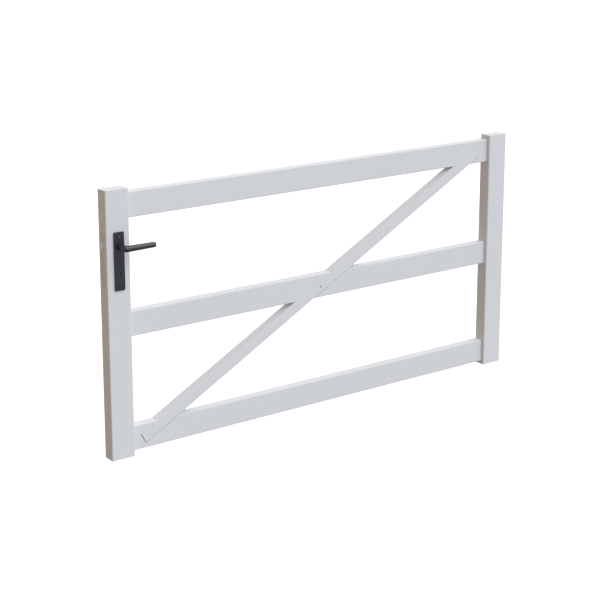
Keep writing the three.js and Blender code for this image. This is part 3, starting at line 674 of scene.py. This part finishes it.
def sleeve_nut(node, material):
    """The sleeve that a plate bolt screws into, with a slotted flat head on the inner plate."""
    low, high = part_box(node)
    x, z = face_centre(low, high)
    head = (high.x - low.x) / 2
    sleeve = 3.5 * MM
    rise = 2 * MM
    bore = 2.8 * MM
    profile = [
        (low.y, bore),
        (low.y, sleeve - 0.3 * MM),
        (low.y + 0.3 * MM, sleeve),
        (high.y - rise, sleeve),
        (high.y - rise, head),
        *round_over(high.y, head, 0.8 * MM, 1.2 * MM),
        (high.y, 0),
        (high.y - 4 * MM, 0),
        (high.y - 4 * MM, bore),
        (low.y, bore),
    ]
    piece = lathe("round_" + node, profile, (x, 0, z), "Y")
    slot = place(prism("slot", slot_outline(head * 1.2, 1.1 * MM), -0.9 * MM, 1 * MM, "Y"),
                 (x, high.y, z))
    carve(piece, slot)
    finish_piece(smooth(piece), "gate_leaf", "dull_screw_steel", material, node)


def forend_screw(node, material):
    """A countersunk screw along +X in the lock's forend."""
    low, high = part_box(node)
    y, z = (low.y + high.y) / 2, (low.z + high.z) / 2
    radius = (high.z - low.z) / 2
    profile = [
        (low.x, 0),
        (low.x, radius - 0.15 * MM),
        (low.x + 0.3 * MM, radius),
        (low.x + 2.2 * MM, radius * 0.55),
        *thread_rings(low.x + 4 * MM, high.x - 5 * MM, radius * 0.38, radius * 0.5, 1.6 * MM),
        (high.x, 0),
    ]
    piece = lathe("head_" + node, profile, (0, y, z), "X")
    recess = place(prism("recess", cross(radius * 0.6, radius * 0.26), -0.5 * MM, 1.3 * MM, "X"),
                   (low.x, y, z))
    carve(piece, recess)
    finish_piece(smooth(piece), "gate_leaf", "satin_steel", material, node)


def coach_screw(node, material):
    """A hexagon-headed wood screw: a chamfered head on a washer face, and a ringed shank."""
    low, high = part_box(node)
    x, z = face_centre(low, high)
    corner = max(high.x - low.x, high.z - low.z) / 2
    flat = corner * math.cos(math.pi / 6)
    height = 5.3 * MM
    face = high.y - height
    head = prism("hexagon_" + node, polygon(6, corner), 0.5 * MM, height, "Y")
    start, end, clear = height - 1.3 * MM, height + 0.5 * MM, corner * 1.3
    ring_profile = [(start, clear), (end, clear), (end, flat * 0.80), (start, clear)]
    chamfer_ring = lathe("chamfer", ring_profile, (0, 0, 0), "Y", 36)
    carve(head, chamfer_ring)
    place(head, (x, face, z))
    radius = 4 * MM
    profile = [
        (face + 0.5 * MM, 0),
        (face + 0.5 * MM, flat * 0.98),
        (face, flat * 0.94),
        (face, radius),
        (face - 12 * MM, radius),
        *reversed(thread_rings(low.y + 4 * MM, face - 12.5 * MM, radius * 0.72, radius, 2.2 * MM)),
        (low.y, 0),
    ]
    shank = lathe("shank_" + node, profile, (x, 0, z), "Y", 32)
    finish_piece(smooth(head), "gate_leaf", "black_steel", material, node)
    finish_piece(smooth(shank), "gate_leaf", "black_steel", material)


# ------------------------------------------------------------------ lever, knob and plates


NECK = 9 * MM
ELBOW = 11.7 * MM
TIP = 10.1 * MM
SPINDLE_HOLE = 8.6 * MM
GRUB_BORE = 2.8 * MM
GRUB_BORE_DEPTH = 20 * MM
KNOB_HALF_LENGTH = 17.5 * MM


def neck_profile(low, high):
    """The ball at the elbow, and the neck that narrows from it to the bush."""
    grip_y = low.y + ELBOW
    profile = []
    steps = 14
    for step in range(steps + 1):
        angle = math.pi / 2 * step / steps
        profile.append((grip_y - ELBOW * math.cos(angle), ELBOW * math.sin(angle)))
    neck_start = grip_y + (high.y - grip_y) * 0.8
    for step in range(1, steps + 1):
        share = step / steps
        eased = share * share * (3 - 2 * share)
        profile.append((grip_y + (neck_start - grip_y) * share, ELBOW + (NECK - ELBOW) * eased))
    profile += [(high.y, NECK), (high.y, 0)]
    return profile


def grip_profile(start, end):
    """The tapered grip and its rounded, slightly flat tip."""
    profile = [(start, 0)]
    tip_round = 3.5 * MM
    steps = 20
    for step in range(steps + 1):
        share = step / steps
        profile.append((start + (end - tip_round - start) * share, ELBOW + (TIP - ELBOW) * share))
    for step in range(1, 9):
        angle = math.pi / 2 * step / 8
        inset = TIP * 0.36 * (1 - math.cos(angle))
        profile.append((end - tip_round + tip_round * math.sin(angle), TIP - inset))
    profile.append((end, 0))
    return profile


def spindle_hole(axis, start, end):
    """A cutter for the square hole from start to end."""
    half = SPINDLE_HOLE / 2
    square = [(-half, -half), (half, -half), (half, half), (-half, half)]
    return place(prism("hole", square, start, end, "Y"), (axis.x, 0, axis.z))


def grub_bore(axis, node):
    """A cutter for a grub screw's hole, from below up to the spindle's axis."""
    depth, radius = GRUB_BORE_DEPTH, GRUB_BORE
    profile = [(-depth, 0), (-depth, radius), (0, radius), (0, 0)]
    return lathe("bore", profile, (axis.x, middle(node).y, axis.z), "Z", 24)


def add_lever(material, screw_material):
    low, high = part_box("lever_handle")
    axis = middle("spindle")
    piece = lathe("lever", neck_profile(low, high), (axis.x, 0, axis.z), "Y", 64)
    grip = lathe("grip", grip_profile(axis.x, high.x), (0, low.y + ELBOW, axis.z), "X", 64)
    fuse(piece, grip)
    hole = spindle_hole(axis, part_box("spindle")[0].y - 0.3 * MM, high.y + 2 * MM)
    bore = grub_bore(axis, "lever_grub_screw")
    near, far = -4.2 * MM, -3.2 * MM
    bottom, clear = NECK - 0.5 * MM, NECK + 3 * MM
    groove_profile = [(near, clear), (near, bottom), (far, bottom), (far, clear), (near, clear)]
    groove = lathe("groove", groove_profile, (axis.x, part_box("lever_bush")[0].y, axis.z), "Y")
    carve(piece, hole, bore, groove)
    finish_piece(smooth(piece, 42), "handle", "black_powder_coat", material, "lever_handle")
    grub_screw("lever_grub_screw", screw_material)
    grub_screw("knob_grub_screw", screw_material)


def grub_screw(node, material):
    low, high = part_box(node)
    x, y = (low.x + high.x) / 2, (low.y + high.y) / 2
    radius = (high.x - low.x) / 2
    profile = [
        (low.z, 0),
        (low.z, radius * 0.85),
        *thread_rings(low.z + 0.3 * MM, high.z - 0.3 * MM, radius * 0.88, radius, 0.7 * MM),
        (high.z, radius * 0.7),
        (high.z, 0),
    ]
    piece = lathe("threaded_" + node, profile, (x, y, 0), "Z", 36)
    socket = place(prism("socket", polygon(6, 1.45 * MM), -0.5 * MM, 2.2 * MM, "Z"), (x, y, low.z))
    carve(piece, socket)
    finish_piece(smooth(piece), "handle", "dull_screw_steel", material, node)


def add_knob(material):
    """The turning knob inside: a waisted neck, a full round body and a shallow dished face."""
    low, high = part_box("turning_knob")
    axis = middle("spindle")
    radius = (high.x - low.x) / 2
    first_angle, last_angle = math.pi * 0.11, math.pi * 0.92
    # The arc ends at the back of the CAD knob.
    belly = high.y + KNOB_HALF_LENGTH * math.cos(last_angle)
    neck_end = belly - KNOB_HALF_LENGTH
    profile = [(low.y, 0), (low.y, NECK), (neck_end - 6 * MM, NECK), (neck_end - 3 * MM, NECK * 1.02)]
    steps = 20
    for step in range(steps + 1):
        angle = first_angle + step / steps * (last_angle - first_angle)
        along = belly - KNOB_HALF_LENGTH * math.cos(angle)
        profile.append((along, radius * math.sin(angle) ** 0.8))
    rim = profile[-1][1]
    profile += [
        (high.y - 0.2 * MM, rim - 1.0 * MM),
        (high.y - 0.8 * MM, rim * 0.5),
        (high.y - 1.0 * MM, 0),
    ]
    piece = lathe("knob", profile, (axis.x, 0, axis.z), "Y", 64)
    hole = spindle_hole(axis, low.y - 2 * MM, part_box("spindle")[1].y + 0.3 * MM)
    bore = grub_bore(axis, "knob_grub_screw")
    carve(piece, hole, bore)
    finish_piece(smooth(piece, 42), "handle", "black_powder_coat", material, "turning_knob")


def add_plates(material, nylon_material):
    for node in ("outer_plate", "inner_plate"):
        piece = copy_of(node, "bevelled_" + node)
        soften(piece, 0.35 * MM, 2, 35)
        finish_piece(smooth(piece, 32), "gate_leaf", "black_powder_coat", material, node)
    for node in ("lever_bush", "knob_bush"):
        low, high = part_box(node)
        x, z = face_centre(low, high)
        flange = (high.x - low.x) / 2
        inner = NECK + 0.3 * MM
        collar = NECK + 2 * MM
        step = 1 * MM
        if node == "lever_bush":
            outer_face, rim, end = low.y, low.y + step, high.y
        else:
            outer_face, rim, end = high.y, high.y - step, low.y
        profile = [
            (outer_face, inner + 0.2 * MM),
            (outer_face, flange - 0.35 * MM),
            (outer_face + (rim - outer_face) * 0.4, flange),
            (rim, flange),
            (rim, collar),
            (end, collar),
            (end, inner),
            (outer_face + (rim - outer_face) * 0.3, inner),
            (outer_face, inner + 0.2 * MM),
        ]
        piece = lathe("moulded_" + node, profile, (x, 0, z), "Y", 56)
        finish_piece(smooth(piece), "gate_leaf", "black_nylon", nylon_material, node)


# ------------------------------------------------------------------ lock


def add_lock(steel, bright_steel, case_steel, screw_material, brass_material):
    soft_edges = {
        "lock_forend": ("gate_leaf", 0.4 * MM, bright_steel, "satin_steel"),
        "latch_bolt": ("latch", 0.5 * MM, bright_steel, "satin_steel"),
        "dead_bolt": ("deadbolt", 0.6 * MM, bright_steel, "satin_steel"),
        "follower": ("handle", 0.3 * MM, brass_material, "brass"),
        "spindle": ("handle", 0.5 * MM, steel, "satin_steel"),
        "lock_case": ("gate_leaf", 0.25 * MM, case_steel, "zinc_plated_case"),
        "lock_cover": ("gate_leaf", 0.25 * MM, case_steel, "zinc_plated_case"),
    }
    for node, (body, width, material, slot) in soft_edges.items():
        piece = copy_of(node, "eased_" + node)
        soften(piece, width, 2)
        finish_piece(smooth(piece), body, slot, material, node)
    for node in ("forend_screw_upper", "forend_screw_lower"):
        forend_screw(node, bright_steel)
    for node, material in (
        ("latch_spring", steel),
        ("detent_spring", steel),
        ("lock_cover_screw_1", screw_material),
        ("lock_cover_screw_2", screw_material),
    ):
        dress_cad(node, material)


def dress_cad(node, material):
    """A CAD node that stays as it is, with a better material."""
    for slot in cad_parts[node].material_slots:
        slot.material = material


# ------------------------------------------------------------------ hinges

PIN = 8 * MM
STEM = 10 * MM


def add_strap(name, material):
    """A band with its end rolled into an eye: the seam shows where the roll meets the band."""
    low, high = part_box(name + "_strap")
    pin = middle(name + "_hinge_pin")
    piece = copy_of(name + "_strap", "rolled_" + name + "_strap")
    inner, outer = PIN, high.x - pin.x + 1 * MM
    turn = math.radians(205)
    half_width = 0.45 * MM
    across = Vector((-math.sin(turn), math.cos(turn), 0)) * half_width
    ahead = Vector((math.cos(turn), math.sin(turn), 0))
    corners = [
        ahead * inner - across,
        ahead * outer - across,
        ahead * outer + across,
        ahead * inner + across,
    ]
    seam = prism("seam", [(c.x, c.y) for c in corners], low.z - 1 * MM, high.z + 1 * MM, "Z")
    place(seam, (pin.x, pin.y, 0))
    carve(piece, seam)
    soften(piece, 0.6 * MM, 2)
    finish_piece(smooth(piece, 34), "gate_leaf", "black_steel", material, name + "_strap")


def add_hinge_pin(name, material):
    """The pin with its crowned end, shoulder fillet and stem."""
    low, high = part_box(name + "_hinge_pin")
    centre = middle(name + "_hinge_pin")
    washer = middle(name + "_thrust_washer")
    up = 1 if name == "upper" else -1
    tip = high.z if up > 0 else low.z
    foot = low.z if up > 0 else high.z
    shoulder = washer.z - up * 1.8 * MM
    profile = [
        (tip, 0),
        (tip - up * 0.1 * MM, PIN - 3 * MM),
        (tip - up * 0.6 * MM, PIN - 1.6 * MM),
        (tip - up * 1.4 * MM, PIN - 0.5 * MM),
        (tip - up * 2.4 * MM, PIN),
        (shoulder, PIN),
        (shoulder, STEM - 0.6 * MM),
        (shoulder - up * 0.6 * MM, STEM),
        (foot + up * 1.2 * MM, STEM),
        (foot + up * 0.3 * MM, STEM - 0.9 * MM),
        (foot, STEM - 2 * MM),
        (foot, 0),
    ]
    piece = lathe("forged_" + name + "_pin", profile, (centre.x, centre.y, 0), "Z", 56)
    finish_piece(smooth(piece), "post_fittings", "galvanised_steel", material, name + "_hinge_pin")
    low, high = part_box(name + "_thrust_washer")
    inner = PIN + 0.3 * MM
    outer = (high.x - low.x) / 2
    ease = 0.35 * MM
    profile = [
        (low.z, inner),
        (low.z, outer - ease),
        (low.z + ease, outer),
        (high.z - ease, outer),
        (high.z, outer - ease),
        (high.z, inner),
        (low.z, inner),
    ]
    piece = lathe("stamped_" + name + "_washer", profile, (centre.x, centre.y, 0), "Z", 56)
    finish_piece(smooth(piece), "post_fittings", "galvanised_steel", material, name + "_thrust_washer")


def weld_bead(name, start, end, radius, material):
    """A rippled bead from start to end, upright."""
    bm = bmesh.new()
    segments = 14
    steps = 90
    ripple_length = 2.6 * MM
    length = end.z - start.z
    rings = []
    for step in range(steps + 1):
        share = step / steps
        z = start.z + length * share
        taper = min(1.0, 6 * share, 6 * (1 - share)) ** 0.5 if 0 < share < 1 else 0.25
        phase = (z - start.z) / ripple_length
        swell = 0.86 + 0.14 * math.sin(2 * math.pi * phase)
        swell += 0.04 * math.sin(3.7 * phase)
        size = radius * taper * swell
        ring = []
        for side in range(segments):
            angle = 2 * math.pi * side / segments
            x = start.x + size * math.cos(angle)
            y = start.y + size * math.sin(angle)
            ring.append(bm.verts.new((x, y, z)))
        rings.append(ring)
    for low, high in zip(rings, rings[1:]):
        for side in range(segments):
            after = (side + 1) % segments
            bm.faces.new([low[side], low[after], high[after], high[side]])
    bm.faces.new(rings[0])
    bm.faces.new(rings[-1])
    piece = new_object(name, mesh_from(name, bm))
    finish_piece(smooth(piece, 60), "post_fittings", "galvanised_steel", material)


WELD_STOP = 4 * MM  # how far a bead stops short of the plate's and the pin's ends


def add_post_plate(name, material, weld_material):
    """The plate that screws to the post, welded to the pin's stem on both sides."""
    node = name + "_post_plate"
    piece = copy_of(node, "pressed_" + node)
    soften(piece, 0.6 * MM, 2)
    finish_piece(smooth(piece), "post_fittings", "galvanised_steel", material, node)
    plate_low, plate_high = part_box(node)
    pin_low, pin_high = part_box(name + "_hinge_pin")
    low_z = max(plate_low.z, pin_low.z) + WELD_STOP
    high_z = min(plate_high.z, pin_high.z) - WELD_STOP
    beads = (
        ("back", plate_low.x - 0.4 * MM, plate_high.y - 0.2 * MM, 2.4 * MM),
        ("front", plate_low.x - 0.6 * MM, plate_low.y + 1.2 * MM, 2.0 * MM),
    )
    for side, x, y, radius in beads:
        start, end = Vector((x, y, low_z)), Vector((x, y, high_z))
        weld_bead(f"weld_{name}_{side}", start, end, radius, weld_material)


# ------------------------------------------------------------------ floor and light

FLOOR_DROP = 50 * MM
FLOOR_REACH = 60.0
FLOOR_GLOW = 0.45
BACKDROP = 1.1  # what the camera sees past the floor
DOME_LEVEL = (0.660, 0.692, 0.778)
DOME_LEAST = 0.02
DOME_MOST = (0.90, 0.92, 0.95)
DOME_SLOPE = {  # how much brighter the studio is towards +X, +Y and +Z, per colour channel
    "red": (0.39, 0.08, 0.11),
    "green": (0.505, 0.08, 0.12),
    "blue": (0.715, 0.08, 0.14),
}
MIRRORED = {"From Min": -0.3, "From Max": 0.6, "To Min": 0.40, "To Max": 1.9}  # glossy reflections
KEY_PLACE = Vector((0.15, -0.62, 0.77))  # the soft key light's side of the gate
KEY_STRENGTH = 1.0
KEY_SPREAD = math.radians(40)


def add_floor():
    shader = Shader("floor")
    mottle = shader.noise(shader.place, 3.0, 3.0, 0.5)
    shader.set(Base_Color=shader.mix(mottle, (0.90, 0.90, 0.90), (0.93, 0.93, 0.93)))
    shader.surface.inputs["Roughness"].default_value = 0.9
    shader.surface.inputs["Specular IOR Level"].default_value = 0.0
    shader.surface.inputs["Emission Color"].default_value = (1, 1, 1, 1)
    shader.surface.inputs["Emission Strength"].default_value = FLOOR_GLOW
    bm = bmesh.new()
    bmesh.ops.create_circle(bm, cap_ends=True, segments=96, radius=FLOOR_REACH)
    low, high = CAD_BOX
    centre = (low + high) / 2
    bmesh.ops.translate(bm, verts=bm.verts, vec=Vector((centre.x, centre.y, low.z - FLOOR_DROP)))
    floor = new_object("floor", mesh_from("floor", bm))
    floor.data.materials.append(shader.material)
    floor.visible_diffuse = False
    floor.visible_glossy = False


def add_key_light():
    data = bpy.data.lights.new("key", "SUN")
    data.energy = KEY_STRENGTH
    data.angle = KEY_SPREAD
    key = bpy.data.objects.new("key", data)
    bpy.context.scene.collection.objects.link(key)
    key.rotation_mode = "QUATERNION"
    key.rotation_quaternion = (-KEY_PLACE).to_track_quat("-Z", "Y")


def world_maths(tree, operation, source, amount):
    made = tree.nodes.new("ShaderNodeMath")
    made.operation = operation
    made.inputs[1].default_value = amount
    tree.links.new(source, made.inputs[0])
    return made.outputs["Value"]


def add_world():
    """Plain white for the camera. As light, brighter and bluer towards +X, and stronger in reflections
    from above than from below."""
    world = bpy.data.worlds.new("studio")
    bpy.context.scene.world = world
    world.use_nodes = True
    tree = world.node_tree
    tree.nodes.clear()
    direction = tree.nodes.new("ShaderNodeTexCoord").outputs["Generated"]
    colour = tree.nodes.new("ShaderNodeCombineColor")
    for index, slope in enumerate(DOME_SLOPE.values()):
        dot = tree.nodes.new("ShaderNodeVectorMath")
        dot.operation = "DOT_PRODUCT"
        dot.inputs[1].default_value = slope
        tree.links.new(direction, dot.inputs[0])
        level = world_maths(tree, "ADD", dot.outputs["Value"], DOME_LEVEL[index])
        level = world_maths(tree, "MAXIMUM", level, DOME_LEAST)
        level = world_maths(tree, "MINIMUM", level, DOME_MOST[index])
        tree.links.new(level, colour.inputs[index])
    rays = tree.nodes.new("ShaderNodeLightPath")
    height = tree.nodes.new("ShaderNodeSeparateXYZ")
    tree.links.new(direction, height.inputs[0])
    mirrored = tree.nodes.new("ShaderNodeMapRange")
    tree.links.new(height.outputs["Z"], mirrored.inputs["Value"])
    for key, value in MIRRORED.items():
        mirrored.inputs[key].default_value = value
    strength = tree.nodes.new("ShaderNodeMix")
    strength.inputs["A"].default_value = 1.0
    tree.links.new(rays.outputs["Is Glossy Ray"], strength.inputs["Factor"])
    tree.links.new(mirrored.outputs["Result"], strength.inputs["B"])
    light = tree.nodes.new("ShaderNodeBackground")
    tree.links.new(colour.outputs["Color"], light.inputs["Color"])
    tree.links.new(strength.outputs["Result"], light.inputs["Strength"])
    plain = tree.nodes.new("ShaderNodeBackground")
    plain.inputs["Color"].default_value = (1, 1, 1, 1)
    plain.inputs["Strength"].default_value = BACKDROP
    choice = tree.nodes.new("ShaderNodeMixShader")
    tree.links.new(rays.outputs["Is Camera Ray"], choice.inputs["Fac"])
    tree.links.new(light.outputs["Background"], choice.inputs[1])
    tree.links.new(plain.outputs["Background"], choice.inputs[2])
    output = tree.nodes.new("ShaderNodeOutputWorld")
    tree.links.new(choice.outputs["Shader"], output.inputs["Surface"])


def set_colours():
    view = bpy.context.scene.view_settings
    view.view_transform = "Standard"
    view.look = "None"
    view.exposure = 0.0
    view.gamma = 1.0


# ------------------------------------------------------------------ the gate


SHOWN_BRACE_SCREWS = {"lower": 0.0, "middle": 3.2 * MM, "upper": 0.0}  # radius left bare by the filler
RUBBED_PLATE_BOLTS = {"upper": 3.0 * MM, "lower": 0.0}  # radius rubbed bare of its coat


def build():
    coat = black_coat("black_powder_coat")
    band = black_steel("black_steel")
    zinc = galvanised("galvanised_steel")
    weld = weld_metal("weld_metal")
    steel = metal("satin_steel", (0.30, 0.28, 0.26), (0.40, 0.38, 0.35), 0.40, (900, 900, 40))
    bright = metal("worn_bright_steel", (0.72, 0.71, 0.70), (0.84, 0.83, 0.82), 0.45,
                   (900, 900, 40), metallic=0.4)
    case = metal("zinc_plated_case", (0.24, 0.25, 0.26), (0.34, 0.35, 0.36), 0.48, (500, 500, 60))
    screws = metal("dull_screw_steel", (0.22, 0.215, 0.20), (0.34, 0.33, 0.31), 0.38, (700, 40, 700))
    yellow = metal("brass", (0.46, 0.32, 0.13), (0.62, 0.45, 0.20), 0.34, (500, 500, 500))
    plastic = nylon("black_nylon")

    add_timber()
    filler = painted_timber("paint_filler", ALONG_X, 9)
    for name, hole_radius in SHOWN_BRACE_SCREWS.items():
        wood_screw("brace_screw_" + name, "gate_leaf", screws)
        screw_filler("brace_screw_" + name, hole_radius, filler)
    add_plates(coat, plastic)
    add_lever(coat, screws)
    add_knob(coat)
    for name, bare_radius in RUBBED_PLATE_BOLTS.items():
        plate_bolt("plate_bolt_" + name, coat, screws, bare_radius)
        sleeve_nut("plate_sleeve_nut_" + name, screws)
    add_lock(steel, bright, case, screws, yellow)
    for name in ("upper", "lower"):
        add_strap(name, band)
        add_hinge_pin(name, zinc)
        add_post_plate(name, zinc, weld)
        for number in (1, 2, 3):
            coach_screw(f"{name}_coach_screw_{number}", band)


add_camera()
set_colours()
add_world()
add_key_light()
add_floor()
build()
